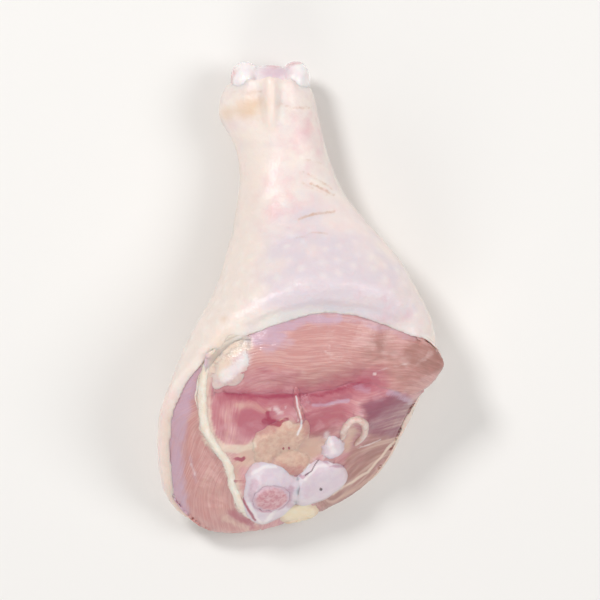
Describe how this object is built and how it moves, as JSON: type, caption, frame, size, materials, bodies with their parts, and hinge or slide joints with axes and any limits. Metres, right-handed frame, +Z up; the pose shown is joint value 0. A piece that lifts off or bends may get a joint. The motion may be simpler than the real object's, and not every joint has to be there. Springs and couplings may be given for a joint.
{
  "type": "raw chicken drumstick",
  "caption": "Raw chicken drumstick with its skin on, a cartilage-capped hock at the thin end and the cut knee face showing muscle, joint cartilage, bone marrow and fat.",
  "frame": {"origin": "centre of the bounding box's bottom, on the surface the drumstick lies on", "axes": "+Y along the leg from the cut knee end to the hock, +Z up, +X to the right seen from above with the hock away from the viewer"},
  "size_m": [0.0762, 0.1262, 0.0392],
  "materials": {
    "skin": "moist chicken skin",
    "calf_muscle": "moist raw muscle",
    "shin_muscle": "moist raw muscle",
    "outer_muscle": "moist raw muscle",
    "shin_bone": "bone with red marrow",
    "hock_cartilage": "glossy joint cartilage",
    "knee_cartilage": "glossy joint cartilage",
    "joint_capsule": "tan joint tissue",
    "ligament_stub": "white ligament",
    "ligament_loop": "white ligament",
    "fascia": "thin wet membrane",
    "joint_fat": "cream fat",
    "knee_fat": "yellow fat",
    "septum": "cream connective tissue",
    "tendon_strand": "white tendon"
  },
  "bodies": {
    "root": {"skin": "skin", "calf_muscle": "calf_muscle", "shin_muscle": "shin_muscle", "outer_muscle": "outer_muscle", "shin_bone": "shin_bone", "hock_cartilage": "hock_cartilage", "knee_cartilage": "knee_cartilage", "joint_capsule": "joint_capsule", "ligament_stub": "ligament_stub", "ligament_loop": "ligament_loop", "fascia": "fascia", "joint_fat": "joint_fat", "knee_fat": "knee_fat", "septum": "septum", "tendon_strand": "tendon_strand"}
  },
  "joints": []
}
